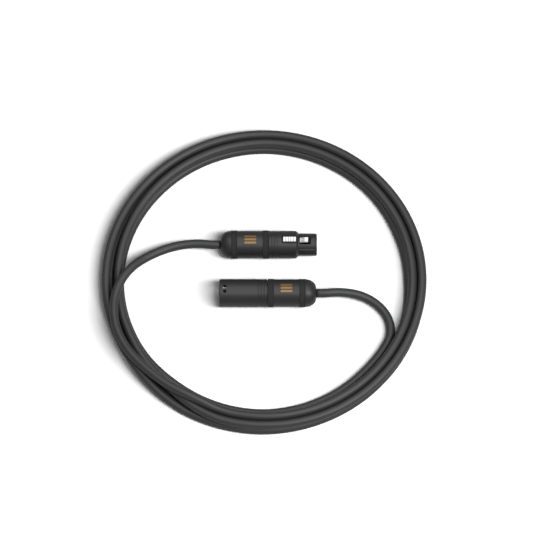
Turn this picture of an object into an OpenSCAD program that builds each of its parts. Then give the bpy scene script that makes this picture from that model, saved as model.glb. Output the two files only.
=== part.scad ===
// Coiled microphone cable with a female and a male XLR connector, in millimetres.
// X runs along both connectors, Z is up, and the grip rings and the coil rest on z = 0.
// Each connector is drawn along +X from the end where its cable leaves, then put in its place.

/* [Cable] */
// Outer diameter of the cable's jacket
cable_d = 6.2; // [5.8:0.1:6.4]
// Clear gap between neighbouring turns of the coil
turn_gap = 0.65; // [0.6:0.01:0.7]
// Outer diameter of an insulated conductor
conductor_d = 1.5; // [1.2:0.1:1.6]
// Length of jacket held inside a connector
jacket_inside = 28; // [26:0.5:29]

/* [Back shell] */
// Outer diameter of the connector bodies
body_d = 19.4; // [18.8:0.1:19.8]
// Length of the back shell
back_shell_length = 33.7; // [32:0.5:36]
// Length of the domed end of the back shell
dome_length = 7.4; // [6.5:0.1:7.4]
// Radius of the flat end face round the cable
end_face_r = 3.9; // [3.7:0.1:4.5]
// Inside diameter of the back shell where it screws on
back_bore_d = 14.6; // [14.6:0.1:15]
// Depth at which the inside cone reaches the full bore
cone_end = 12; // [11.5:0.5:13]
// Depth at which the inside cone starts
cone_start = 5.5; // [5:0.5:6]

/* [Grip rings] */
// Outer diameter of the rubber grip rings
grip_ring_d = 20.5; // [20:0.1:21.5]
// Width of a grip ring
grip_ring_width = 4.2; // [3.5:0.1:4.6]
// Depth of a ring's seat below the ring's outside
ring_seat_depth = 1.65; // [1.4:0.05:1.75]
// Distance from the cable end to the rear ring
rear_ring_s = 7.4; // [7.4:0.1:9]
// Rounding of a ring's outer edges
ring_round = 0.5; // [0.2:0.1:0.6]

/* [Connector fronts] */
// Outer diameter of the male shell
male_shell_d = 19.7; // [19.3:0.1:20]
// Length of the male shell in front of the gap
male_shell_length = 33.2; // [32:0.2:34]
// Open gap between the male back shell and its front shell
male_joint_gap = 0.7; // [0.4:0.1:1]
// Gap between the female back shell and its housing
female_joint_gap = 0.1; // [0.1:0.05:0.3]
// Length of the female housing behind the nose
female_body_length = 19.9; // [19.4:0.1:20.4]
// Diameter of the female nose
nose_d = 15.7; // [15.6:0.05:15.8]
// Length of the female nose
nose_length = 13.7; // [13.4:0.1:14]
// Length of the insert's collar at the front of the nose
collar_length = 1.3; // [1:0.1:1.6]
// Length of the slope between the female body and its nose
shoulder_length = 2.2; // [1.6:0.1:2.4]
// Bore of the female housing, which holds the insert
housing_bore_d = 14; // [13.8:0.1:14.1]
// Bore of the male mouth, which takes a female nose
mouth_bore_d = 16.2; // [16.1:0.05:16.4]
// Number of shallow grooves behind each connector's front
groove_count = 3; // [1:1:4]
// Distance between two shallow grooves
groove_pitch = 2; // [1.6:0.1:2.2]
// Depth of a shallow groove
groove_depth = 0.2; // [0.1:0.05:0.4]
// Width of a shallow groove
groove_width = 0.8; // [0.4:0.1:1]
// Width of the keyway along the nose
keyway_width = 4; // [3:0.1:4.2]
// Depth of the keyway along the nose
keyway_depth = 0.45; // [0.3:0.05:0.5]
// Height of the keyway's middle above the horizontal, in degrees
keyway_angle = 24; // [20:1:28]

/* [Contacts] */
// Radius of the circle that the three contacts stand on
contact_circle_r = 3.95; // [3.9:0.01:4]
// Diameter of a male pin
pin_d = 2.39; // [2.37:0.01:2.41]
// Length of a male pin in front of its insert
pin_length = 12; // [11:0.2:12.6]
// Radial clearance between a pin and a socket
socket_clearance = 0.025; // [0.02:0.005:0.04]
// Wall of a socket contact
socket_wall = 0.33; // [0.3:0.01:0.36]
// Depth of the male mouth from its rim to the insert
mouth_depth = 14.1; // [13.8:0.1:14.6]
// Length of the male insert
male_insert_length = 6.5; // [6:0.1:7]
// Length of the female insert
female_insert_length = 21.8; // [21.4:0.1:22]
// Depth of the female insert's face behind the nose's rim
insert_recess = 0.6; // [0.3:0.1:0.8]
// Length of a solder cup behind its insert
cup_length = 3.6; // [3:0.1:4]

/* [Latch] */
// Width of the latch
latch_width = 4; // [3.6:0.1:4.2]
// Gap on each side of the latch in its windows
latch_side_gap = 0.8; // [0.5:0.1:0.9]
// Length of the push button
button_length = 8.8; // [8:0.1:9]
// Height of the hook above the nose
hook_height = 0.7; // [0.5:0.05:0.8]
// Length of the tongue that carries the hook
tongue_length = 6.8; // [6.2:0.1:7]
// Diameter of the latch's hinge pin
latch_pin_d = 1; // [0.8:0.1:1.1]
// Wire diameter of the latch spring
spring_wire_d = 0.35; // [0.3:0.05:0.4]
// Active coils of the latch spring
spring_coils = 4; // [3:1:5]

/* [Fits] */
// Clearance round the cable where it leaves a back shell
cable_clearance = 0.15; // [0.1:0.05:0.3]
// Clearance between parts that slide together at assembly
slide_clearance = 0.1; // [0.05:0.01:0.15]
// Clearance between the latch and its hinge pin
pin_clearance = 0.05; // [0.03:0.01:0.08]

/* [Layout] */
// Distance between the two connectors' axes
connector_spacing = 36.8; // [30:0.2:40]

/* [Hidden] */
$fn = 96;

cut = 1;                                   // how far a cutter runs past the face it opens
ease_gap = 0.02;                           // between two faces that seat on each other
cable_r = cable_d / 2;
body_r = body_d / 2;
grip_ring_r = grip_ring_d / 2;
axis_z = grip_ring_r;
ring_seat_r = grip_ring_r - ring_seat_depth;
front_ring_s = back_shell_length - grip_ring_width;
back_bore_r = back_bore_d / 2;
cable_bore_r = cable_r + cable_clearance;
cone_small_r = cable_bore_r + 1.2;         // leaves a step that the jacket rests on

// connector places: the end where the cable leaves
cable_end_x = 33.4;
female_end = [-cable_end_x, connector_spacing / 2, axis_z];
male_end = [cable_end_x, -connector_spacing / 2, axis_z];

// threaded tail, screwed into the back shell
thread_r = back_bore_r - slide_clearance;
thread_depth = 0.45;
thread_root_r = thread_r - thread_depth;
thread_pitch = 1;
tail_length = 9;
tail_bore_r = 5.5;
tail_s = back_shell_length - tail_length;
shell_web = 1.6;                           // from the joint to the wide cavity
joint_collar_r = body_r - 0.6;             // closes the open gap behind the male shell
joint_collar_s = back_shell_length + slide_clearance;

// chuck that grips the jacket
chuck_set_in = 1;                          // of the chuck's rear end in the inside cone
chuck_play = 0.6;                          // round the chuck's body
chuck_rear_s = cone_start + chuck_set_in;
chuck_body_r = back_bore_r - chuck_play;
chuck_end_gap = 0.3;                       // from the tail and, across, from the inside cone
chuck_slot = 1;
chuck_slot_web = 5;                        // unslotted length of the chuck's body
jacket_shows = 0.2;                        // of the jacket in front of the chuck

// female front
housing_s = back_shell_length + female_joint_gap;
shoulder_s = housing_s + female_body_length;
nose_r = nose_d / 2;
nose_s = shoulder_s + nose_length;
housing_bore_r = housing_bore_d / 2;
cavity_s = housing_s + shell_web;
female_face_s = nose_s - insert_recess;
female_back_s = female_face_s - female_insert_length;
female_insert_r = housing_bore_r - slide_clearance;
shoulder_back_s = shoulder_s - shoulder_length / 2;
shoulder_front_s = shoulder_s + shoulder_length / 2;
rim_chamfer = 0.6;
front_edge = 0.2;                          // chamfer of the housing behind the insert's collar
collar_s = nose_s - collar_length;
collar_r = nose_r - 0.1;
collar_round = 0.8;
collar_wall = 1.3;

// male front
male_r = male_shell_d / 2;
mouth_r = mouth_bore_d / 2;
shell_s = back_shell_length + male_joint_gap;
rim_s = shell_s + male_shell_length;
male_face_s = rim_s - mouth_depth;
male_back_s = male_face_s - male_insert_length;
male_insert_r = mouth_r - slide_clearance / 2;
male_cavity_s = shell_s + shell_web;
key_clearance = 0.15;                      // over the key, in the keyway
key_top_r = nose_r - keyway_depth + key_clearance;
key_half = keyway_width / 2 - 0.3;
key_end_gap = 0.2;                         // between the key and the insert
key_root = 0.5;                            // how far the key runs into the shell's wall

// contacts 1, 2 and 3 as each connector's own front shows them, so that they meet their like
female_angles = [45, 135, 270];
male_angles = [135, 45, 270];
pin_r = pin_d / 2;
socket_r = pin_r + socket_clearance;
socket_outer_r = socket_r + socket_wall;
entry_r = socket_r + 0.2;                  // behind which the contact's end is held
entry_mouth_r = entry_r + 0.35;            // the entry widens towards the face, to lead a pin in
entry_depth = 2.9;
socket_front_s = female_face_s - entry_depth;
socket_depth = pin_length - 3;             // less than the entry and the pin's tip take up
socket_floor_s = socket_front_s - socket_depth;
pin_shank_r = pin_r + 0.3;
pin_flange_r = pin_r + 0.6;
pin_flange_depth = 1;                      // of the insert in front of the flange
pin_tip = 0.6;
cup_r = 1.4;
cup_bore_r = conductor_d / 2 + 0.15;
cup_bore_depth = cup_length - 0.6;
cup_root = 0.5;                            // how far a cup runs on into its contact
cup_cut = 2;
slit_width = 0.4;

// latch, hinged behind its button
latch_half = latch_width / 2;
window_half = latch_half + latch_side_gap;
button_front_s = shoulder_s - 1;
button_back_s = button_front_s - button_length;
window_end_gap = 0.3;
window_back_gap = 1;
tongue_back_s = shoulder_s + 1.8;
tongue_front_s = tongue_back_s + tongue_length;
tongue_back_gap = 0.6;
tongue_front_gap = 0.9;
hook_ramp = 3.6;                           // length of the ribbed slope up to the hook's top
hook_step = 0.25;                          // of the slope's start below the nose
hook_top_length = 2;
latch_nose_z = 0.6;                        // of the tongue's front end over the strip
hinge_back = 3.5;                          // from the button back to the hinge
hinge_s = button_back_s - hinge_back;
hinge_z = housing_bore_r - 1.6;
strip_start = 3;                           // of the level strip in front of the hinge
latch_pin_r = latch_pin_d / 2;
hinge_eye_r = latch_pin_r + pin_clearance + 0.4;
strip_low_z = housing_bore_r - 1.2;
strip_high_z = housing_bore_r - 0.5;
press_room = 1.3;                          // under the strip, for the latch's stroke
slot_floor_z = strip_low_z - press_room;
slot_half = latch_half + 0.4;
button_top_z = body_r - 0.25;
rib_groove_depth = 0.25;
rib_groove_half = 0.2;
hook_top_z = nose_r + hook_height;
pin_reach = 1.2;                           // of the hinge pin into the housing's wall
hinge_pin_half = sqrt(pow(housing_bore_r, 2) - pow(hinge_z, 2)) + pin_reach;

// latch spring, stood in a pocket of the button
spring_s = (button_back_s + button_front_s) / 2;
spring_r = 0.95;
pocket_r = spring_r + spring_wire_d / 2 + 0.15;
pocket_top_z = button_top_z - 0.9;
curl_rings = 8;
wire_sides = 6;

// male latch window and the ground tabs
male_window_length = 2.2;
male_window_rim = 2.6;                     // of the shell in front of the window
male_window_s = rim_s - male_window_rim - male_window_length;
male_window_half = 2.9;
male_window_shift = 0.6;                   // of the window's middle from the latch's line
male_window_depth = 1;                     // of the cutter under the shell's tail bore
tab_half = 1.4;
tab_thick = 0.5;
tab_length = 6;
tab_clearance = 0.1;

// conductors, from the jacket's end to the solder cups
wire_r = conductor_d / 2;
shield_wire_r = 0.6;
wire_start_r = 1.2;
wire_straight = 1.2;
wire_into_cup = 1.6;
wire_rings = 7;
conductor_sides = 8;

// ---- coil ----
// The lower layer starts at the male lead, innermost, and winds outwards. It climbs a layer
// in the half turn where the spiral reverses, and the upper layer winds back inwards.
coil_centre = [-2.8, -8];
coil_start_r = 97;
coil_start_angle = 316;
coil_reverse = 870;                        // degrees wound when the spiral reverses
coil_steps = 100;
step_angle = 15;
climb_half = 90;
coil_sides = 6;
lead_sides = 12;
turn_pitch = cable_d + turn_gap;
layer_pitch = cable_d + turn_gap;
stub_angle = 15;                           // the end stubs follow a chord this long

function wound(phi) =
    phi < coil_reverse - climb_half ? phi
    : phi > coil_reverse + climb_half ? 2 * coil_reverse - phi
    : coil_reverse - climb_half / 2 - pow(phi - coil_reverse, 2) / (2 * climb_half);
function coil_r(phi) = coil_start_r + turn_pitch * wound(phi) / 360;
function ease(t) = t < 0 ? 0 : t > 1 ? 1 : t * t * (3 - 2 * t);
function coil_z(phi) =
    cable_r + layer_pitch * ease((phi - coil_reverse + climb_half) / (2 * climb_half));
function coil_point(phi) = [
    coil_centre[0] + coil_r(phi) * cos(coil_start_angle - phi),
    coil_centre[1] + coil_r(phi) * sin(coil_start_angle - phi),
    coil_z(phi)
];
function unit(v) = v / norm(v);
coil_end = coil_steps * step_angle;
start_way = unit(coil_point(-stub_angle) - coil_point(0));
end_way = unit(coil_point(coil_end + stub_angle) - coil_point(coil_end));
coil_start_face = coil_point(0) + cable_d * start_way;
coil_end_face = coil_point(coil_end) + cable_d * end_way;
coil_route = concat(
    [coil_start_face],
    [for (i = [0:coil_steps]) coil_point(i * step_angle)],
    [coil_end_face]
);

// ---- leads ----
// From the female connector over the coil's left side and down to the coil's upper end
female_lead_points = [
    [-47, 18.9, 10.1], [-55.5, 18.7, 9.9], [-64, 17.3, 9.8], [-72.5, 14.8, 9.8], [-81, 11, 10],
    [-89, 6, 10.6], [-96, 0, 12], [-101.6, -7.5, 14.2], [-105.4, -16, 16], [-107.6, -25.5, 16.9],
    [-107.9, -35.5, 17.1], [-105.6, -46, 17.1], [-101, -56.5, 17.1], [-94.2, -66.5, 17.1],
    [-85.6, -75.5, 16.9], [-75.6, -83.4, 16.3], [-64.7, -90.1, 15.2], [-54.8, -95.4, 13.3],
    [-45.2, -99.4, 11.2]
];
// From the male connector down to the floor and in under the coil's inner turn
male_lead_points = [
    [47, -18, 9.7], [56, -18, 8.5], [64.5, -19.2, 6.9], [72, -22.2, 5.1], [78.2, -27, 3.8],
    [82.5, -33.2, 3.2], [84.6, -40.3, 3.1], [84.4, -47.7, 3.1], [81.8, -54.4, 3.1]
];
stub = [cable_d, 0, 0];
female_lead_route = concat(
    [female_end, female_end - stub],
    female_lead_points,
    [coil_end_face + cable_d * end_way, coil_end_face]
);
male_lead_route = concat(
    [male_end, male_end + stub],
    male_lead_points,
    [coil_start_face + cable_d * start_way, coil_start_face]
);

// ---- sweeping a round tube along a route ----
function way_at(route, i) =
    i == 0 ? unit(route[1] - route[0])
    : i == len(route) - 1 ? unit(route[i] - route[i - 1])
    : unit(unit(route[i + 1] - route[i]) + unit(route[i] - route[i - 1]));
function ring_at(route, i, r, sides) =
    let (way = way_at(route, i), side = unit(cross([0, 0, 1], way)), up = cross(way, side))
    [for (k = [0:sides - 1]) let (a = 90 + k * 360 / sides)
        route[i] + r * (cos(a) * side + sin(a) * up)];
module sweep(route, r, sides) {
    rings = len(route);
    points = [for (i = [0:rings - 1]) each ring_at(route, i, r, sides)];
    last = (rings - 1) * sides;
    faces = concat(
        [for (k = [1:sides - 2]) [0, k, k + 1]],
        [for (k = [1:sides - 2]) [last, last + k + 1, last + k]],
        [for (i = [0:rings - 2], k = [0:sides - 1]) let (a = i * sides + k, b = i * sides + (k + 1) % sides)
            each [[a, a + sides, b], [b, a + sides, b + sides]]]
    );
    polyhedron(points, faces);
}

// least clear gaps: probes on one route against the chords of another, without the chords they join
function halves(route) = [for (i = [0:len(route) - 2]) each [route[i], (route[i] + route[i + 1]) / 2]];
function from_chord(q, a, b) =
    let (along = b - a, t = max(0, min(1, (q - a) * along / (along * along)))) norm(q - a - t * along);
coil_halves = halves(coil_route);
coil_self_gap = min([for (i = [0:len(coil_halves) - 1], j = [0:len(coil_route) - 2])
    if (abs(j - i / 2) > 8) from_chord(coil_halves[i], coil_route[j], coil_route[j + 1])]) - cable_d;
female_lead_gap = min([for (q = halves(female_lead_route), j = [0:len(coil_route) - 4])
    from_chord(q, coil_route[j], coil_route[j + 1])]) - cable_d;
male_lead_gap = min([for (q = halves(male_lead_route), j = [3:len(coil_route) - 2])
    from_chord(q, coil_route[j], coil_route[j + 1])]) - cable_d;
function route_length(route) = [for (i = [0:len(route) - 2]) norm(route[i + 1] - route[i])]
    * [for (i = [0:len(route) - 2]) 1];
echo(coil_self_gap = coil_self_gap, female_lead_gap = female_lead_gap, male_lead_gap = male_lead_gap);
echo(cord_length = route_length(female_lead_route) + route_length(coil_route)
    + route_length(male_lead_route));

// ---- shared shapes, drawn along +X ----
module at_female() translate(female_end) children();
module at_male() translate(male_end) rotate(180) children();
module turned(profile) rotate([0, 90, 0]) rotate_extrude() polygon(profile);
module bar(from, to, r) translate([from, 0, 0]) rotate([0, 90, 0]) cylinder(h = to - from, r = r);
module side_plate(profile, width) rotate([90, 0, 0]) linear_extrude(width, center = true) polygon(profile);
module at_contact(a) rotate([a - 90, 0, 0]) translate([0, 0, contact_circle_r]) children();
module block(low, high) translate(low) cube(high - low);

// ---- back shell, rings, chuck and jacket: the same on both connectors ----
module back_shell() {
    arc_steps = 14;
    dome = [for (i = [0:arc_steps]) let (a = 90 * i / arc_steps)
        [end_face_r + (body_r - end_face_r) * sin(a), dome_length * (1 - cos(a))]];
    edge = 0.25;
    color("#2b2b2d") turned(concat(dome, [
        [body_r, rear_ring_s], [ring_seat_r, rear_ring_s],
        [ring_seat_r, rear_ring_s + grip_ring_width], [body_r, rear_ring_s + grip_ring_width],
        [body_r, front_ring_s], [ring_seat_r, front_ring_s],
        [ring_seat_r, back_shell_length - edge], [ring_seat_r - edge, back_shell_length],
        [back_bore_r, back_shell_length], [back_bore_r, cone_end],
        [cone_small_r, cone_start], [cable_bore_r, cone_start], [cable_bore_r, 0]
    ]));
}

module grip_ring(s) {
    low = ring_seat_r + ease_gap;
    from = s + ease_gap;
    to = s + grip_ring_width - ease_gap;
    corner_steps = 4;
    function corner(middle_s, first) = [for (i = [0:corner_steps]) let (a = first - 90 * i / corner_steps)
        [grip_ring_r - ring_round + ring_round * cos(a), middle_s + ring_round * sin(a)]];
    color("#232324") turned(concat(
        [[low, from], [low, to]],
        corner(to - ring_round, 90),
        corner(from + ring_round, 0)
    ));
}

module chuck() {
    grip_r = cable_r + 0.05;
    slope = (back_bore_r - cone_small_r) / (cone_end - cone_start);
    rear_r = cone_small_r + slope * (chuck_rear_s - cone_start) - chuck_end_gap;
    cone_front_s = chuck_rear_s + (chuck_body_r - rear_r) / slope;
    body_end_s = tail_s - chuck_end_gap;
    spigot_end_s = jacket_inside - jacket_shows;
    spigot_r = tail_bore_r - slide_clearance;
    slot_end_s = body_end_s - chuck_slot_web;
    color("#3f4042") difference() {
        turned([
            [grip_r, chuck_rear_s], [rear_r, chuck_rear_s], [chuck_body_r, cone_front_s],
            [chuck_body_r, body_end_s], [spigot_r, body_end_s],
            [spigot_r, spigot_end_s], [grip_r, spigot_end_s]
        ]);
        for (a = [0, 90])
            rotate([a, 0, 0])
                block([chuck_rear_s - cut, -body_r, -chuck_slot / 2], [slot_end_s, body_r, chuck_slot / 2]);
    }
}

module jacket_end() color("#1f1f20") bar(0, jacket_inside, cable_r);

// A conductor bends from the jacket's end to the mouth of its solder cup
module conductor(angle, cup_mouth_s, r, tint) {
    way = [0, cos(angle), sin(angle)];
    bend_from = jacket_inside + wire_straight;
    bend_length = cup_mouth_s - wire_straight - bend_from;
    route = concat(
        [[jacket_inside, 0, 0] + wire_start_r * way],
        [for (k = [0:wire_rings]) let (t = k / wire_rings)
            [bend_from + bend_length * t, 0, 0]
                + (wire_start_r + (contact_circle_r - wire_start_r) * ease(t)) * way],
        [[cup_mouth_s + wire_into_cup, 0, 0] + contact_circle_r * way]
    );
    color(tint) sweep(route, r, conductor_sides);
}

// Threaded tail, drawn as level ridges, from its rear end to the joint
function tail_profile() = [for (s = [tail_s:thread_pitch:back_shell_length - 2 * thread_pitch]) each [
    [thread_root_r, s], [thread_r, s + 0.3 * thread_pitch],
    [thread_r, s + 0.5 * thread_pitch], [thread_root_r, s + 0.8 * thread_pitch]
]];
// Shallow grooves round a front shell, from its rear edge on
function groove_profile(s, r) = [for (i = [1:groove_count]) let (g = s + i * groove_pitch) each [
    [r, g - groove_width / 2], [r - groove_depth, g - groove_width / 4],
    [r - groove_depth, g + groove_width / 4], [r, g + groove_width / 2]
]];

// ---- female connector ----
module female_housing() {
    edge = 0.2;
    color("#2e2e30") at_female() difference() {
        turned(concat(
            tail_profile(),
            [[thread_root_r, housing_s], [body_r - edge, housing_s], [body_r, housing_s + edge]],
            groove_profile(housing_s, body_r),
            [for (t = [0:0.125:1])
                [body_r - (body_r - nose_r) * ease(t), shoulder_back_s + shoulder_length * t]],
            [[nose_r, collar_s - front_edge], [nose_r - front_edge, collar_s],
             [housing_bore_r, collar_s], [housing_bore_r, cavity_s],
             [tail_bore_r, cavity_s], [tail_bore_r, tail_s]]
        ));
        block([button_back_s - window_back_gap, -window_half, hinge_z],
              [button_front_s + window_end_gap, window_half, body_r + cut]);
        block([tongue_back_s - tongue_back_gap, -window_half, hinge_z],
              [tongue_front_s + tongue_front_gap, window_half, nose_r + cut]);
        keyway();
        translate([hinge_s, 0, hinge_z]) rotate([90, 0, 0])
            cylinder(h = 2 * hinge_pin_half, r = latch_pin_r + 0.02, center = true, $fn = 48);
    }
}

module keyway() rotate([-keyway_angle, 0, 0])
    block([shoulder_front_s, -nose_r - cut, -keyway_width / 2],
          [nose_s + cut, -nose_r + keyway_depth, keyway_width / 2]);

// The insert fills the nose and ends in a round-edged collar in front of the housing
module female_insert() {
    round_steps = 4;
    corner = [for (i = [0:round_steps]) let (a = 90 * i / round_steps)
        [collar_r - collar_round * (1 - cos(a)), nose_s - collar_round * (1 - sin(a))]];
    color("#1c1c1d") at_female() difference() {
        turned(concat(
            [[0, female_back_s], [female_insert_r, female_back_s],
             [female_insert_r, collar_s + ease_gap], [collar_r, collar_s + ease_gap]],
            corner,
            [[collar_r - collar_wall, nose_s], [collar_r - collar_wall, female_face_s],
             [0, female_face_s]]
        ));
        keyway();
        block([female_back_s - cut, -slot_half, slot_floor_z],
              [tongue_front_s + tongue_front_gap, slot_half, body_r]);
        block([female_back_s + cut, -tab_half - tab_clearance, -body_r],
              [female_back_s + cut + tab_length + 2 * tab_clearance, tab_half + tab_clearance,
               tab_low_z(housing_bore_r) + tab_thick + tab_clearance]);
        for (a = female_angles) at_contact(a) {
            bar(female_back_s - cut, socket_front_s + ease_gap, socket_outer_r + slide_clearance / 2);
            turned([[0, socket_front_s], [entry_r, socket_front_s], [entry_mouth_r, female_face_s],
                    [entry_mouth_r, female_face_s + cut], [0, female_face_s + cut]]);
        }
    }
}
function tab_low_z(r) = -sqrt(pow(r, 2) - pow(tab_half, 2)) + tab_clearance;

module solder_cup(mouth_s) {
    difference() {
        bar(mouth_s, mouth_s + cup_length + cup_root, cup_r);
        bar(mouth_s - cut, mouth_s + cup_bore_depth, cup_bore_r);
        block([mouth_s - cut, -cup_r - cut, 0], [mouth_s + cup_cut, cup_r + cut, cup_r + cut]);
    }
}

module female_contact(i) {
    color("#d9b24a") at_female() at_contact(female_angles[i]) {
        solder_cup(female_back_s - cup_length);
        difference() {
            bar(female_back_s, socket_front_s, socket_outer_r);
            bar(socket_floor_s, socket_front_s + cut, socket_r);
            block([socket_floor_s + cut, -slit_width / 2, 0],
                  [socket_front_s + cut, slit_width / 2, socket_outer_r + cut]);
        }
    }
}
module female_contact_1() female_contact(0);
module female_contact_2() female_contact(1);
module female_contact_3() female_contact(2);

module female_ground_tab() {
    from = female_back_s + cut + tab_clearance;
    low = tab_low_z(housing_bore_r);
    color("silver") at_female()
        block([from, -tab_half, low], [from + tab_length, tab_half, low + tab_thick]);
}

module female_latch() {
    rib_count = 4;
    rib_pitch = button_length / (rib_count + 1);
    ramp_ribs = 3;
    ramp_pitch = hook_ramp / (ramp_ribs + 1);
    strip_back_s = hinge_s + strip_start;
    color("#dcdcde") at_female() difference() {
        union() {
            translate([hinge_s, 0, hinge_z]) rotate([90, 0, 0])
                cylinder(h = latch_width, r = hinge_eye_r, center = true, $fn = 48);
            side_plate([
                [hinge_s, hinge_z - hinge_eye_r], [strip_back_s, strip_low_z], [tongue_front_s, strip_low_z],
                [tongue_front_s, strip_high_z + latch_nose_z],
                [tongue_back_s + hook_ramp + hook_top_length, hook_top_z],
                [tongue_back_s + hook_ramp, hook_top_z], [tongue_back_s, nose_r - hook_step],
                [tongue_back_s, strip_high_z],
                [strip_back_s, strip_high_z], [hinge_s, hinge_z + hinge_eye_r]
            ], latch_width);
            block([button_back_s, -latch_half, strip_low_z], [button_front_s, latch_half, button_top_z]);
        }
        translate([hinge_s, 0, hinge_z]) rotate([90, 0, 0])
            cylinder(h = latch_width + 2 * cut, r = latch_pin_r + pin_clearance, center = true, $fn = 48);
        translate([spring_s, 0, slot_floor_z])
            cylinder(h = pocket_top_z - slot_floor_z, r = pocket_r, $fn = 48);
        for (i = [1:rib_count])
            block([button_back_s + i * rib_pitch - rib_groove_half, -latch_half - cut,
                   button_top_z - rib_groove_depth],
                  [button_back_s + i * rib_pitch + rib_groove_half, latch_half + cut, button_top_z + cut]);
        for (i = [1:ramp_ribs])
            block([tongue_back_s + i * ramp_pitch - rib_groove_half, -latch_half - cut,
                   nose_r - hook_step + (hook_height + hook_step) * i / (ramp_ribs + 1) - rib_groove_depth],
                  [tongue_back_s + i * ramp_pitch + rib_groove_half, latch_half + cut, hook_top_z + cut]);
    }
}

module female_latch_pin() {
    color("#b8b8ba") at_female() translate([hinge_s, 0, hinge_z]) rotate([90, 0, 0])
        cylinder(h = 2 * hinge_pin_half - 0.2, r = latch_pin_r, center = true, $fn = 48);
}

module female_latch_spring() {
    wire_r = spring_wire_d / 2;
    low = slot_floor_z + wire_r + 0.02;
    high = pocket_top_z - wire_r - 0.02;
    steps = spring_coils * curl_rings;
    route = [for (i = [0:steps]) let (a = i * 360 / curl_rings)
        [spring_s + spring_r * cos(a), spring_r * sin(a), low + (high - low) * i / steps]];
    color("#a9a9ab") at_female() sweep(route, wire_r, wire_sides);
}

module female_chuck() at_female() chuck();
module female_back_shell() at_female() back_shell();
module female_front_grip_ring() at_female() grip_ring(front_ring_s);
module female_rear_grip_ring() at_female() grip_ring(rear_ring_s);
module female_jacket_end() at_female() jacket_end();
module female_shield_wire() at_female()
    conductor(female_angles[0], female_back_s - cup_length, shield_wire_r, "#c98a5a");
module female_red_wire() at_female()
    conductor(female_angles[1], female_back_s - cup_length, wire_r, "#b02020");
module female_white_wire() at_female()
    conductor(female_angles[2], female_back_s - cup_length, wire_r, "#e8e8e4");

// ---- male connector ----
module male_shell() {
    edge = 0.2;
    color("#2e2e30") at_male() difference() {
        union() {
            turned(concat(
                tail_profile(),
                [[thread_root_r, joint_collar_s], [joint_collar_r, joint_collar_s],
                 [joint_collar_r, shell_s], [male_r - edge, shell_s], [male_r, shell_s + edge]],
                groove_profile(shell_s, male_r),
                [[male_r, rim_s - rim_chamfer], [male_r - rim_chamfer, rim_s],
                 [mouth_r, rim_s], [mouth_r, male_back_s],
                 [housing_bore_r, male_back_s], [housing_bore_r, male_cavity_s],
                 [tail_bore_r, male_cavity_s], [tail_bore_r, tail_s]]
            ));
            intersection() {
                rotate([keyway_angle, 0, 0])
                    block([male_face_s + key_end_gap, key_top_r, -key_half],
                          [rim_s - 1, mouth_r + key_root, key_half]);
                bar(male_face_s, rim_s, mouth_r + key_root);
            }
        }
        block([male_window_s, male_window_shift - male_window_half, housing_bore_r - male_window_depth],
              [male_window_s + male_window_length, male_window_shift + male_window_half, male_r + cut]);
    }
}

module male_insert() {
    color("#1c1c1d") at_male() difference() {
        bar(male_back_s + slide_clearance / 2, male_face_s, male_insert_r);
        block([male_back_s, -tab_half - tab_clearance, -body_r],
              [male_face_s + cut, tab_half + tab_clearance, tab_low_z(mouth_r) + tab_thick + tab_clearance]);
        for (a = male_angles) at_contact(a) {
            bar(male_back_s - cut, male_face_s - pin_flange_depth, pin_flange_r + slide_clearance / 2);
            bar(male_back_s, male_face_s + cut, pin_shank_r + slide_clearance / 2);
        }
    }
}

module male_pin(i) {
    flange_front_s = male_face_s - pin_flange_depth - slide_clearance / 2;
    color("#d8d8da") at_male() at_contact(male_angles[i]) {
        solder_cup(male_back_s - cup_length);
        turned([
            [0, male_back_s], [pin_flange_r, male_back_s], [pin_flange_r, flange_front_s],
            [pin_shank_r, flange_front_s], [pin_shank_r, male_face_s],
            [pin_r, male_face_s], [pin_r, male_face_s + pin_length - pin_tip],
            [pin_r - pin_tip * 0.6, male_face_s + pin_length - pin_tip * 0.25],
            [pin_r - pin_tip, male_face_s + pin_length], [0, male_face_s + pin_length]
        ]);
    }
}
module male_pin_1() male_pin(0);
module male_pin_2() male_pin(1);
module male_pin_3() male_pin(2);

module male_ground_tab() {
    low = tab_low_z(mouth_r);
    color("silver") at_male()
        block([male_back_s + tab_clearance, -tab_half, low],
              [male_back_s + tab_clearance + tab_length, tab_half, low + tab_thick]);
}

module male_chuck() at_male() chuck();
module male_back_shell() at_male() back_shell();
module male_front_grip_ring() at_male() grip_ring(front_ring_s);
module male_rear_grip_ring() at_male() grip_ring(rear_ring_s);
module male_jacket_end() at_male() jacket_end();
module male_shield_wire() at_male()
    conductor(male_angles[0], male_back_s - cup_length, shield_wire_r, "#c98a5a");
module male_red_wire() at_male()
    conductor(male_angles[1], male_back_s - cup_length, wire_r, "#b02020");
module male_white_wire() at_male()
    conductor(male_angles[2], male_back_s - cup_length, wire_r, "#e8e8e4");

// ---- cable ----
module cable_female_lead() color("#262627") sweep(female_lead_route, cable_r, lead_sides);
module cable_coil() color("#262627") sweep(coil_route, cable_r, coil_sides);
module cable_male_lead() color("#262627") sweep(male_lead_route, cable_r, lead_sides);

female_housing();
female_insert();
female_contact_1();
female_contact_2();
female_contact_3();
female_ground_tab();
female_latch();
female_latch_pin();
female_latch_spring();
female_chuck();
female_back_shell();
female_front_grip_ring();
female_rear_grip_ring();
female_jacket_end();
female_shield_wire();
female_red_wire();
female_white_wire();
male_shell();
male_insert();
male_pin_1();
male_pin_2();
male_pin_3();
male_ground_tab();
male_chuck();
male_back_shell();
male_front_grip_ring();
male_rear_grip_ring();
male_jacket_end();
male_shield_wire();
male_red_wire();
male_white_wire();
cable_female_lead();
cable_coil();
cable_male_lead();
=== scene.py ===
"""Looks of the coiled XLR microphone cable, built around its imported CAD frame.

Everything is in metres in the CAD frame: X along both connectors, Z up, the floor at z = 0.
Both connectors are described along s, the distance from the end where their cable leaves.
"""
import math

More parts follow.
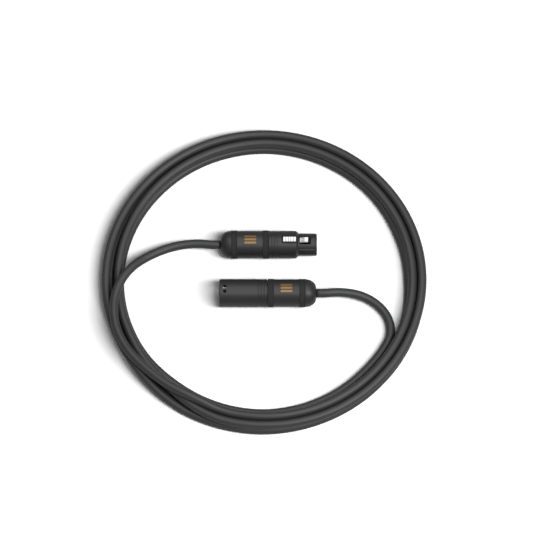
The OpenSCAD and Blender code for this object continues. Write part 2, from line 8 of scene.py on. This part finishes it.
import bmesh
import bpy
import numpy as np
from mathutils import Matrix, Vector


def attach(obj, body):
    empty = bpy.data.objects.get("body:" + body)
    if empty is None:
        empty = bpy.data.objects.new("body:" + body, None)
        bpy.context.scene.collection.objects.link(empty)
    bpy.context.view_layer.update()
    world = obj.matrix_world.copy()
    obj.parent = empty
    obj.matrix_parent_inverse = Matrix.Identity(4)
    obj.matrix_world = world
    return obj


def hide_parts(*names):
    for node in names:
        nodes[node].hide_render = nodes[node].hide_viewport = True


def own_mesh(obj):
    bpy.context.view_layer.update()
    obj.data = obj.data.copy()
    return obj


MM = 0.001
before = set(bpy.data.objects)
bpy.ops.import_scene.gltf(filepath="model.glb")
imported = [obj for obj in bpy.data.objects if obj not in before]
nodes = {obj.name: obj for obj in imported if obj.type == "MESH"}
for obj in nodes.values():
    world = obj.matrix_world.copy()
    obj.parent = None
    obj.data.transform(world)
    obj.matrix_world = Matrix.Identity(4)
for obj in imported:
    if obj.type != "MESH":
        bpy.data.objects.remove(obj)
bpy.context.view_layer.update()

# ---------------------------------------------------------------- camera
IMAGE_PX = 533                       # side of the square photograph
MM_PER_PX = 0.70                     # scale at the middle of the connectors
ORIGIN_PX = (268.3, 274.6)           # where the frame's origin lies in the photograph
VIEW_ELEVATION = math.radians(67)
VIEW_DISTANCE = 15.0                 # a long lens: the photograph has next to no perspective
SENSOR_MM = 36

centre_px = IMAGE_PX / 2
target = Vector((
    (centre_px - ORIGIN_PX[0]) * MM_PER_PX * MM,
    (ORIGIN_PX[1] - centre_px) * MM_PER_PX * MM / math.sin(VIEW_ELEVATION),
    0,
))
view_dir = Vector((0, -math.cos(VIEW_ELEVATION), math.sin(VIEW_ELEVATION)))
camera_data = bpy.data.cameras.new("camera")
camera_data.sensor_width = SENSOR_MM
camera_data.lens = SENSOR_MM * VIEW_DISTANCE / (IMAGE_PX * MM_PER_PX * MM)
camera_data.clip_start = 0.01
camera_data.clip_end = 50
camera = bpy.data.objects.new("camera", camera_data)
camera.location = target + VIEW_DISTANCE * view_dir
camera.rotation_euler = (math.pi / 2 - VIEW_ELEVATION, 0, 0)
bpy.context.scene.collection.objects.link(camera)
bpy.context.scene.camera = camera
bpy.context.scene.view_settings.view_transform = "Standard"

# ---------------------------------------------------------------- the cord, in millimetres and degrees
CORD_D = 6.2
CORD_SIDES = 28
ROUTE_SPACING = 2.5                  # between the points of the smooth route
TURN_PITCH = 6.85                    # from one turn to the next one out
LAYER_RISE = 6.22                    # the upper turns lie on the lower ones
COIL_CENTRE = (-2.8, -8)
COIL_START_R = 97                    # where the male lead joins the innermost turn
COIL_START_ANGLE = 316
COIL_REVERSE = 870                   # wound from there, where the winding turns back inward
TURN_HALF = 90                       # either side of it, over which it turns
CLIMB_START = 794                    # from the floor to the upper layer
CLIMB_END = 822
COIL_END = 1500                      # where the female lead joins
COIL_STEP = 7.5
UPPER_SHIFT_Y = 0.27                 # how far the upper layer lies off the lower one
# where the photograph's strands lie off the plain spiral, apart from the upper layer's shift:
# degrees wound, millimetres outward
STRAND_SHIFT = [
    (0, 0), (46, 0.8), (74, 0.3), (86, 0.1), (102, 1.3), (136, 1.6), (181, 1), (226, 0.6), (271, -0.7),
    (293, -1.9), (316, -2.2), (330, -1.1), (345, -0.1), (366, -0.35), (406, 0.2), (434, -0.36),
    (446, -0.25), (462, 0.85), (473, 1.4), (496, 1.4), (541, 0.8), (586, 0.2), (631, 0), (676, -0.3),
    (721, -0.9), (743, -0.7), (766, -0.4), (788, -0.75), (811, -1.15), (833, -1.6), (856, -1.95),
    (878, -2.2), (901, -2.2), (923, -2), (946, -1.7), (991, -0.9), (1036, 0), (1058, 0.3),
    (1081, 0.6), (1103, 1.25), (1126, 1.42), (1144, 1.86), (1169, -4.1), (1193, -4.8), (1216, -4.8),
    (1238, -4), (1261, -2.9), (1306, -1.37), (1351, -0.6), (1396, 0.1), (1441, 1), (1463, 1.5),
    (1500, 2),
]
FEMALE_EXIT = (-33.4, 18.4, 10.25)
MALE_EXIT = (33.4, -18.4, 10.25)
FEMALE_LEAD = [
    (-47, 19.0, 10.2), (-55.5, 18.8, 10.1), (-64, 17.4, 10.1), (-72.5, 14.7, 10.3), (-80.9, 10.7, 11),
    (-88.7, 5.5, 12.6), (-95.4, -0.7, 14.7), (-101, -8, 15.7), (-105.1, -16.2, 15.9), (-107.5, -25.5, 15.8),
    (-107.9, -35.5, 15.8), (-106.2, -46.4, 15.8), (-101.9, -57.1, 15.8), (-95.3, -67.2, 15.8),
    (-86.7, -76.4, 15.8), (-77.1, -84.8, 15.8), (-66.5, -92.1, 15.7), (-55.8, -97.4, 15.0),
    (-45.6, -101.9, 12.95), (-36.4, -105.7, 10.6),
]
MALE_LEAD = [
    (47, -17.6, 9.7), (56, -17.6, 8.5), (64.5, -18.9, 6.9), (72, -21.9, 5.1), (78.4, -26.8, 3.8),
    (82.9, -32.9, 3.2), (85.25, -40, 3.1), (85.2, -47.7, 3.1), (82.5, -54.6, 3.1),
]


def wound(phi):
    """Degrees of outward winding: out to COIL_REVERSE, then back in, turned smoothly."""
    if phi < COIL_REVERSE - TURN_HALF:
        return phi
    if phi > COIL_REVERSE + TURN_HALF:
        return 2 * COIL_REVERSE - phi
    return COIL_REVERSE - TURN_HALF / 2 - (phi - COIL_REVERSE) ** 2 / (2 * TURN_HALF)


def outward_shift(phi):
    """How far the strand lies outside the plain spiral: its own shift and the upper layer's."""
    knots = []
    for knot, shift in STRAND_SHIFT:
        upper = UPPER_SHIFT_Y if knot > CLIMB_END else 0
        knots.append((knot, shift + upper * math.sin(math.radians(COIL_START_ANGLE - knot))))
    return np.interp(phi, *zip(*knots))


def coil_point(phi):
    """A point of the coil's turns, phi degrees wound from the male end."""
    r = COIL_START_R + TURN_PITCH * wound(phi) / 360 + outward_shift(phi)
    climb = min(max((phi - CLIMB_START) / (CLIMB_END - CLIMB_START), 0), 1)
    angle = math.radians(COIL_START_ANGLE - phi)
    return (
        COIL_CENTRE[0] + r * math.cos(angle),
        COIL_CENTRE[1] + r * math.sin(angle),
        CORD_D / 2 + LAYER_RISE * climb * climb * (3 - 2 * climb),
    )


def smooth_curve(points, spacing):
    """Points every `spacing` along the natural cubic spline through the given points."""
    p = np.array(points, float)
    t = np.concatenate([[0], np.cumsum(np.linalg.norm(np.diff(p, axis=0), axis=1))])
    h = np.diff(t)
    n = len(p)
    a = np.zeros((n, n))
    b = np.zeros((n, 3))
    a[0, 0] = a[-1, -1] = 1
    for i in range(1, n - 1):
        a[i, i - 1], a[i, i], a[i, i + 1] = h[i - 1], 2 * (h[i - 1] + h[i]), h[i]
        b[i] = 6 * ((p[i + 1] - p[i]) / h[i] - (p[i] - p[i - 1]) / h[i - 1])
    m = np.linalg.solve(a, b)
    out = []
    for s in np.linspace(0, t[-1], int(t[-1] / spacing) + 1):
        i = min(int(np.searchsorted(t, s, side="right")) - 1, n - 2)
        u, w = t[i + 1] - s, s - t[i]
        out.append(
            (m[i] * u ** 3 + m[i + 1] * w ** 3) / (6 * h[i])
            + (p[i] / h[i] - m[i] * h[i] / 6) * u
            + (p[i + 1] / h[i] - m[i + 1] * h[i] / 6) * w
        )
    return np.array(out)


def cord_route():
    """The cord's middle line, in metres, from the female exit round the coil to the male exit."""
    exit_run = np.array([CORD_D, 0, 0])
    start = [FEMALE_EXIT, tuple(np.array(FEMALE_EXIT) - exit_run)]
    end = [tuple(np.array(MALE_EXIT) + exit_run), MALE_EXIT]
    steps = int(COIL_END / COIL_STEP)
    coil = [coil_point(COIL_END - i * COIL_STEP) for i in range(steps + 1)]
    route = smooth_curve(start + FEMALE_LEAD + coil + MALE_LEAD[::-1] + end, ROUTE_SPACING)
    route[:, 2] = np.maximum(route[:, 2], CORD_D / 2)
    return route * MM


# ---------------------------------------------------------------- mesh helpers
def add_mesh(name, verts, faces, smooth=True):
    """A new object in the scene, made from its points and faces."""
    mesh = bpy.data.meshes.new(name)
    mesh.from_pydata([tuple(v) for v in verts], [], faces)
    mesh.update()
    if smooth:
        mesh.polygons.foreach_set("use_smooth", [True] * len(mesh.polygons))
    obj = bpy.data.objects.new(name, mesh)
    bpy.context.scene.collection.objects.link(obj)
    return obj


def tube(name, path, r, sides):
    """A closed round tube along a path, with rings that don't twist."""
    n = len(path)
    ways = np.gradient(path, axis=0)
    ways /= np.linalg.norm(ways, axis=1)[:, None]
    side = np.cross([0, 0, 1], ways)
    side /= np.linalg.norm(side, axis=1)[:, None]
    up = np.cross(ways, side)
    verts = []
    for i in range(n):
        for k in range(sides):
            a = 2 * math.pi * k / sides
            verts.append(path[i] + r * (math.cos(a) * side[i] + math.sin(a) * up[i]))
    faces = []
    for i in range(n - 1):
        for k in range(sides):
            k2 = (k + 1) % sides
            faces.append((i * sides + k, i * sides + k2, (i + 1) * sides + k2, (i + 1) * sides + k))
    faces.append(tuple(range(sides))[::-1])
    faces.append(tuple((n - 1) * sides + k for k in range(sides)))
    return add_mesh(name, verts, faces)


def turn_outward(obj):
    """Turns every face of a closed mesh outward."""
    work = bmesh.new()
    work.from_mesh(obj.data)
    bmesh.ops.recalc_face_normals(work, faces=work.faces)
    work.to_mesh(obj.data)
    work.free()


def dress(obj, material):
    """Gives an object one material all over."""
    obj.data.materials.clear()
    obj.data.materials.append(material)


def place(end, facing, s, y, z):
    """A point of a connector: s from its cable end, y and z across, in metres in the frame."""
    return ((end[0] + facing * s) * MM, (end[1] + facing * y) * MM, (end[2] + z) * MM)


# ---------------------------------------------------------------- materials
def noise(tree, scale, detail):
    """A noise texture on object coordinates."""
    coords = tree.nodes.new("ShaderNodeTexCoord")
    texture = tree.nodes.new("ShaderNodeTexNoise")
    texture.inputs["Scale"].default_value = scale
    texture.inputs["Detail"].default_value = detail
    texture.inputs["Roughness"].default_value = 0.55
    tree.links.new(coords.outputs["Object"], texture.inputs["Vector"])
    return texture.outputs["Fac"]


def ramp(tree, source, low, high, start=0.3, stop=0.7):
    """Maps a 0 to 1 signal to numbers or to colours between low and high."""
    if isinstance(low, tuple):
        mix = tree.nodes.new("ShaderNodeMix")
        mix.data_type = "RGBA"
        mix.inputs["A"].default_value = (*low, 1)
        mix.inputs["B"].default_value = (*high, 1)
        tree.links.new(ramp(tree, source, 0.0, 1.0, start, stop), mix.inputs["Factor"])
        return mix.outputs["Result"]
    span = tree.nodes.new("ShaderNodeMapRange")
    span.inputs["From Min"].default_value = start
    span.inputs["From Max"].default_value = stop
    span.inputs["To Min"].default_value = low
    span.inputs["To Max"].default_value = high
    tree.links.new(source, span.inputs["Value"])
    return span.outputs["Result"]


def bump(tree, shader, source, height):
    """Roughens a shader's surface by a 0 to 1 signal, over a height in metres."""
    node = tree.nodes.new("ShaderNodeBump")
    node.inputs["Distance"].default_value = height
    node.inputs["Strength"].default_value = 1
    tree.links.new(source, node.inputs["Height"])
    tree.links.new(node.outputs["Normal"], shader.inputs["Normal"])


def surface(name, dark, light, rough, grain, grain_height, metallic=0.0, specular=0.5, patch=60.0):
    """A material whose colour drifts between dark and light, and whose roughness and grain vary.

    patch and grain are the scales of the drift and of the fine grain, and grain_height is in metres."""
    material = bpy.data.materials.new(name)
    material.use_nodes = True
    tree = material.node_tree
    shader = tree.nodes["Principled BSDF"]
    shader.inputs["Metallic"].default_value = metallic
    shader.inputs["Specular IOR Level"].default_value = specular
    drift = noise(tree, patch, detail=4)
    tree.links.new(ramp(tree, drift, dark, light), shader.inputs["Base Color"])
    fine = noise(tree, grain, detail=2)
    tree.links.new(ramp(tree, fine, rough[0], rough[1]), shader.inputs["Roughness"])
    bump(tree, shader, fine, grain_height)
    return material


def grey(value):
    """A grey with the slight blue of the photograph's black parts."""
    return (value, value, value * 1.04)


def multiply_colour(tree, shader, factor):
    """Multiplies the colour that a shader has so far by a 0 to 1 signal."""
    tint = tree.nodes.new("ShaderNodeMix")
    tint.data_type = "RGBA"
    tint.blend_type = "MULTIPLY"
    tint.inputs["Factor"].default_value = 1
    colour = shader.inputs["Base Color"].links[0].from_socket
    tree.links.new(colour, tint.inputs["A"])
    tree.links.new(factor, tint.inputs["B"])
    tree.links.new(tint.outputs["Result"], shader.inputs["Base Color"])


def shade_before(material, axis, edge, fade, level):
    """Paints shade: darkens a material's colour to a level where its place along an axis of the frame is
    less than edge.
    """
    tree = material.node_tree
    coords = tree.nodes.new("ShaderNodeTexCoord")
    split = tree.nodes.new("ShaderNodeSeparateXYZ")
    tree.links.new(coords.outputs["Object"], split.inputs["Vector"])
    painted_shade = ramp(tree, split.outputs[axis], level, 1.0, edge - fade, edge + fade)
    multiply_colour(tree, tree.nodes["Principled BSDF"], painted_shade)


def shade_cavities(material, reach, level):
    """Paints shade into the narrow grooves of a material: darkens its colour as far as `reach` metres from
    their walls.
    """
    tree = material.node_tree
    cavity = tree.nodes.new("ShaderNodeAmbientOcclusion")
    cavity.samples = 16
    cavity.only_local = True
    cavity.inputs["Distance"].default_value = reach
    painted_shade = ramp(tree, cavity.outputs["AO"], level, 1.0, start=0.6, stop=0.95)
    multiply_colour(tree, tree.nodes["Principled BSDF"], painted_shade)


def paint(name, dark, light, grain):
    """The satin coating of the connectors' metal shells."""
    return surface(name, grey(dark), grey(light), (0.42, 0.50), grain, 0.000012, specular=0.36)


def metal(name, dark, light, rough, grain=6000, grain_height=0.000003):
    """A bare or plated metal."""
    return surface(name, dark, light, rough, grain, grain_height, metallic=1.0)


shell_paint = paint("coated_zinc", 0.017, 0.020, 5200)
sleeve_paint = paint("coated_barrel", 0.017, 0.021, 4200)
# a lighter coating for the keyway's raised lip: a painted highlight line along that edge
lip_painted_highlight = paint("lip_painted_highlight", 0.07, 0.085, 5200)
ring_rubber = surface("rubber", grey(0.024), grey(0.031), (0.78, 0.92), 3600, 0.00006, specular=0.25)
insert_plastic = surface(
    "insert_nylon", grey(0.016), grey(0.022), (0.50, 0.62), 4000, 0.00002, specular=0.35,
)
chuck_plastic = surface("chuck_plastic", grey(0.05), grey(0.07), (0.5, 0.6), 3000, 0.00002)
red_insulation = surface(
    "red_insulation", (0.42, 0.016, 0.014), (0.48, 0.02, 0.018), (0.4, 0.5), 3000, 0.00001,
)
white_insulation = surface(
    "white_insulation", (0.72, 0.72, 0.70), (0.78, 0.78, 0.76), (0.4, 0.5), 3000, 0.00001,
)
jacket_pvc = surface(
    "jacket_pvc", grey(0.030), grey(0.036), (0.44, 0.54), 3800, 0.000015, specular=0.35, patch=25,
)
gold_plate = metal("gold_plate", (0.80, 0.55, 0.20), (0.86, 0.62, 0.26), (0.22, 0.32))
silver_plate = metal("silver_plate", (0.80, 0.79, 0.76), (0.88, 0.87, 0.85), (0.2, 0.3))
spring_steel = metal("drawn_steel", (0.42, 0.42, 0.43), (0.52, 0.52, 0.53), (0.3, 0.4))
bare_copper = metal(
    "bare_copper", (0.62, 0.30, 0.16), (0.72, 0.38, 0.22), (0.3, 0.45), grain_height=0.00001,
)
mark_gold = surface(
    "mark_gold", (0.165, 0.098, 0.036), (0.21, 0.124, 0.047), (0.46, 0.54), 900, 0.000002, metallic=0.85,
)

# painted shade on the latch's nickel: its colour is darkened deep in its windows, along its turned-down
# edge and in its grooves
LATCH_LIT_Z = 17.2
LATCH_EDGE_Y = 17.15
LATCH_GROOVE = 0.6
latch_nickel = metal(
    "bright_nickel", (0.40, 0.40, 0.41), (0.46, 0.46, 0.47), (0.26, 0.34), 700, 0.000002,
)
shade_before(latch_nickel, "Z", LATCH_LIT_Z * MM, fade=0.3 * MM, level=0.06)
shade_before(latch_nickel, "Y", LATCH_EDGE_Y * MM, fade=0.25 * MM, level=0.25)
shade_cavities(latch_nickel, LATCH_GROOVE * MM, level=0.2)

NODE_MATERIALS = {
    "female_housing": shell_paint, "male_shell": shell_paint,
    "female_back_shell": sleeve_paint, "male_back_shell": sleeve_paint,
    "female_insert": insert_plastic, "male_insert": insert_plastic,
    "female_chuck": chuck_plastic, "male_chuck": chuck_plastic,
    "female_contact_1": gold_plate, "female_contact_2": gold_plate, "female_contact_3": gold_plate,
    "male_pin_1": silver_plate, "male_pin_2": silver_plate, "male_pin_3": silver_plate,
    "female_ground_tab": latch_nickel, "male_ground_tab": latch_nickel, "female_latch": latch_nickel,
    "female_latch_pin": spring_steel, "female_latch_spring": spring_steel,
    "female_shield_wire": bare_copper, "male_shield_wire": bare_copper,
    "female_red_wire": red_insulation, "male_red_wire": red_insulation,
    "female_white_wire": white_insulation, "male_white_wire": white_insulation,
    "female_jacket_end": jacket_pvc, "male_jacket_end": jacket_pvc,
}

for node_name, material in NODE_MATERIALS.items():
    dress(nodes[node_name], material)

# ---------------------------------------------------------------- the cord's piece
route = cord_route()
cord = tube("cable", route, CORD_D / 2 * MM, CORD_SIDES)
dress(cord, jacket_pvc)
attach(cord, "cable_set")
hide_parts("cable_female_lead", "cable_coil", "cable_male_lead")

# ---------------------------------------------------------------- grip rings
RING_R = 10.12
RING_SEAT_R = 8.63                   # the groove that a ring sits in
RING_WIDTH = 4.24
REAR_RING_S = 7.42
FRONT_RING_S = 29.52
RING_STEPS = 288                     # round a ring
STUDS_ROUND = 72
STUD_ROWS = 4
BEAD_WIDTH = 0.62
BEAD_HEIGHT = 0.42                   # of the bead over the groove beside it
BEAD_STATIONS = [0, 0.06, 0.16, 0.31, 0.46, 0.56]
BAND_DEPTH = 0.3                     # of the studded band below the beads
BAND_RUN = 0.25                      # from the groove up to the band
STUD_HEIGHT = 0.16
STUD_SPREAD = 0.35                   # 0 is a stud as wide as its gap, 1 is an unbroken rib


def ring_height(t, angle):
    """Radius of a ring's outside at t mm from its edge."""
    edge = min(t, RING_WIDTH - t)
    if edge < BEAD_WIDTH:
        roll = 1 - edge / (BEAD_WIDTH / 2)
        return RING_R - BEAD_HEIGHT * (1 - math.sqrt(max(0, 1 - roll * roll)))
    inside = min((edge - BEAD_WIDTH) / BAND_RUN, 1)
    band = RING_R - BEAD_HEIGHT + (BEAD_HEIGHT - BAND_DEPTH) * inside
    row = (t - BEAD_WIDTH) / ((RING_WIDTH - 2 * BEAD_WIDTH) / STUD_ROWS)
    shift = 0.5 * (int(row) % 2)
    across = math.sin(math.pi * (row % 1))
    around = math.cos(2 * math.pi * (angle * STUDS_ROUND / (2 * math.pi) + shift))
    stud = max(0, STUD_SPREAD + (1 - STUD_SPREAD) * around)
    return band + STUD_HEIGHT * max(0, across) * stud * inside


def grip_ring(name, end, facing, s, node):
    """A rubber ring with a bead along each edge and a band of fine studs between them."""
    middle = np.linspace(BEAD_WIDTH, RING_WIDTH - BEAD_WIDTH, 4 * STUD_ROWS + 1)
    stations = BEAD_STATIONS + list(middle) + [RING_WIDTH - t for t in BEAD_STATIONS[::-1]]
    verts, faces = [], []
    rows = len(stations) + 2
    for k in range(RING_STEPS):
        angle = 2 * math.pi * k / RING_STEPS
        profile = [(RING_SEAT_R, 0)] + [(ring_height(t, angle), t) for t in stations]
        for r, t in profile + [(RING_SEAT_R, RING_WIDTH)]:
            verts.append(place(end, facing, s + t, r * math.cos(angle), r * math.sin(angle)))
    for k in range(RING_STEPS):
        k2 = (k + 1) % RING_STEPS
        for i in range(rows):
            i2 = (i + 1) % rows
            faces.append((k * rows + i, k2 * rows + i, k2 * rows + i2, k * rows + i2))
    ring = add_mesh(name, verts, faces)
    dress(ring, ring_rubber)
    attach(ring, "cable_set")
    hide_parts(node)


CONNECTORS = {"female": (FEMALE_EXIT, 1), "male": (MALE_EXIT, -1)}
for side, (end, facing) in CONNECTORS.items():
    grip_ring(side + "_rear_ring", end, facing, REAR_RING_S, side + "_rear_grip_ring")
    grip_ring(side + "_front_ring", end, facing, FRONT_RING_S, side + "_front_grip_ring")

# ---------------------------------------------------------------- plain gold marks
BODY_R = 9.7                         # of the barrels
MARK_LENGTH = 8.4
MARK_HALF = 0.75                     # half the width of one bar
MARK_TIP = 0.02                      # half the width at its very end
MARK_PITCH = 2.4
MARK_MIDDLE_S = {"female": 20.8, "male": 20.7}
MARK_TOP_R = BODY_R + 0.03
MARK_LOW_R = BODY_R - 0.05
MARK_END_STEPS = 8                   # along a round end
MARK_COLUMNS = 7                     # of points across a bar


def gold_bar(name, end, facing, middle_s, across):
    """A thin bar with round ends, laid on a barrel along it, at an arc distance from its top."""
    turns = [math.pi / 2 * i / MARK_END_STEPS for i in range(MARK_END_STEPS + 1)]
    stations = [-MARK_LENGTH / 2 + MARK_HALF * (1 - math.cos(a)) for a in turns]
    widths = [MARK_HALF * math.sin(a) for a in turns]
    stations += [-s for s in stations[::-1]]
    widths += widths[::-1]
    widths[0] = widths[-1] = MARK_TIP
    columns = MARK_COLUMNS
    verts = []
    for r in (MARK_TOP_R, MARK_LOW_R):
        for t, w in zip(stations, widths):
            for c in range(columns):
                arc = (across + w * (2 * c / (columns - 1) - 1)) / BODY_R
                verts.append(place(end, facing, middle_s + t, r * math.sin(arc), r * math.cos(arc)))
    n = len(stations)
    low = n * columns
    faces = []
    for i in range(n - 1):
        for c in range(columns - 1):
            a = i * columns + c
            quad = (a, a + columns, a + columns + 1, a + 1)
            faces += [quad, tuple(v + low for v in quad[::-1])]
        for a in (i * columns, i * columns + columns - 1):
            wall = (a, a + low, a + columns + low, a + columns)
            faces.append(wall if a % columns else wall[::-1])
    for c in range(columns - 1):
        for a in (c, (n - 1) * columns + c):
            wall = (a, a + low, a + 1 + low, a + 1)
            faces.append(wall[::-1] if a >= columns else wall)
    bar = add_mesh(name, verts, faces, smooth=False)
    turn_outward(bar)
    dress(bar, mark_gold)
    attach(bar, "cable_set")


for side, (end, facing) in CONNECTORS.items():
    for i in (-1, 0, 1):
        gold_bar("%s_mark_%d" % (side, i + 2), end, facing, MARK_MIDDLE_S[side], i * MARK_PITCH)

# ---------------------------------------------------------------- raised lip of the female keyway, coloured lighter than the shell as a painted highlight
NOSE_R = 7.85
LIP_R = 0.28
LIP_ANGLE = math.radians(39.5)       # above the horizontal, at the keyway's upper edge
LIP_S = (54.9, 66.0)                 # from the shoulder to the insert's collar
LIP_POINTS = 12
LIP_SIDES = 12
lip_y = -NOSE_R * math.cos(LIP_ANGLE)
lip_z = NOSE_R * math.sin(LIP_ANGLE)
lip_path = [place(FEMALE_EXIT, 1, s, lip_y, lip_z) for s in np.linspace(*LIP_S, LIP_POINTS)]
lip = tube("female_keyway_lip", np.array(lip_path), LIP_R * MM, LIP_SIDES)
dress(lip, lip_painted_highlight)
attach(lip, "cable_set")

spring = bpy.data.objects.new("female_spring_wire", nodes["female_latch_spring"].data.copy())
bpy.context.scene.collection.objects.link(spring)
dress(spring, spring_steel)
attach(spring, "cable_set")
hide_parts("female_latch_spring")
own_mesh(spring)

# ---------------------------------------------------------------- floor
FLOOR_HALF = 6.0
FLOOR_GREY = 0.88
FLOOR_SHOWN = 1.34                   # what the camera sees, so that the lit floor is plain white

floor = add_mesh("floor", [
    (-FLOOR_HALF, -FLOOR_HALF, 0), (FLOOR_HALF, -FLOOR_HALF, 0),
    (FLOOR_HALF, FLOOR_HALF, 0), (-FLOOR_HALF, FLOOR_HALF, 0),
], [(0, 1, 2, 3)], smooth=False)
floor_material = bpy.data.materials.new("floor")
floor_material.use_nodes = True
floor_tree = floor_material.node_tree
floor_tree.nodes.clear()
lit = floor_tree.nodes.new("ShaderNodeBsdfDiffuse")
shown = floor_tree.nodes.new("ShaderNodeBsdfDiffuse")
lit.inputs["Color"].default_value = (FLOOR_GREY, FLOOR_GREY, FLOOR_GREY, 1)
shown.inputs["Color"].default_value = (FLOOR_SHOWN, FLOOR_SHOWN, FLOOR_SHOWN, 1)
floor_path = floor_tree.nodes.new("ShaderNodeLightPath")
mix = floor_tree.nodes.new("ShaderNodeMixShader")
floor_output = floor_tree.nodes.new("ShaderNodeOutputMaterial")
floor_tree.links.new(floor_path.outputs["Is Camera Ray"], mix.inputs["Fac"])
floor_tree.links.new(lit.outputs["BSDF"], mix.inputs[1])
floor_tree.links.new(shown.outputs["BSDF"], mix.inputs[2])
floor_tree.links.new(mix.outputs["Shader"], floor_output.inputs["Surface"])
dress(floor, floor_material)


# ---------------------------------------------------------------- light
def area_light(name, way, length, width, level):
    """A soft box at `way`, in metres, its length along X, aimed at the origin.

    level is the light that it gives a white surface there, facing it."""
    data = bpy.data.lights.new(name, "AREA")
    data.shape = "RECTANGLE"
    data.size = length
    data.size_y = width
    way = Vector(way)
    data.energy = level * math.pi * math.pi * way.length_squared
    obj = bpy.data.objects.new(name, data)
    back = way.normalized()
    along = Vector((1, 0, 0)) - back.x * back
    along.normalize()
    obj.matrix_world = Matrix((along, back.cross(along), back)).transposed().to_4x4()
    obj.location = way
    bpy.context.scene.collection.objects.link(obj)
    return obj


area_light("key", (1.44, -1.1, 2.8), length=2.4, width=0.72, level=0.95)
softbox = area_light("overhead", (0, 0.9, 3.1), length=3.6, width=2.8, level=0.72)
softbox.visible_diffuse = False      # it only shapes the gloss, and leaves the shadows to the key

SKY_LIGHT = 0.15                     # on rough surfaces
SKY_GLOSS = 0.45                     # in reflections; the camera sees plain white
world = bpy.data.worlds.new("world")
bpy.context.scene.world = world
world.use_nodes = True
sky_tree = world.node_tree
background = sky_tree.nodes["Background"]
background.inputs["Color"].default_value = (1, 1, 1, 1)
sky_path = sky_tree.nodes.new("ShaderNodeLightPath")
sky_level = sky_tree.nodes.new("ShaderNodeMapRange")
sky_level.inputs["To Min"].default_value = SKY_LIGHT
sky_level.inputs["To Max"].default_value = SKY_GLOSS
sky_tree.links.new(sky_path.outputs["Is Glossy Ray"], sky_level.inputs["Value"])
sky_seen = sky_tree.nodes.new("ShaderNodeMath")
sky_seen.operation = "MAXIMUM"
sky_tree.links.new(sky_path.outputs["Is Camera Ray"], sky_seen.inputs[0])
sky_tree.links.new(sky_level.outputs["Result"], sky_seen.inputs[1])
sky_tree.links.new(sky_seen.outputs["Value"], background.inputs["Strength"])
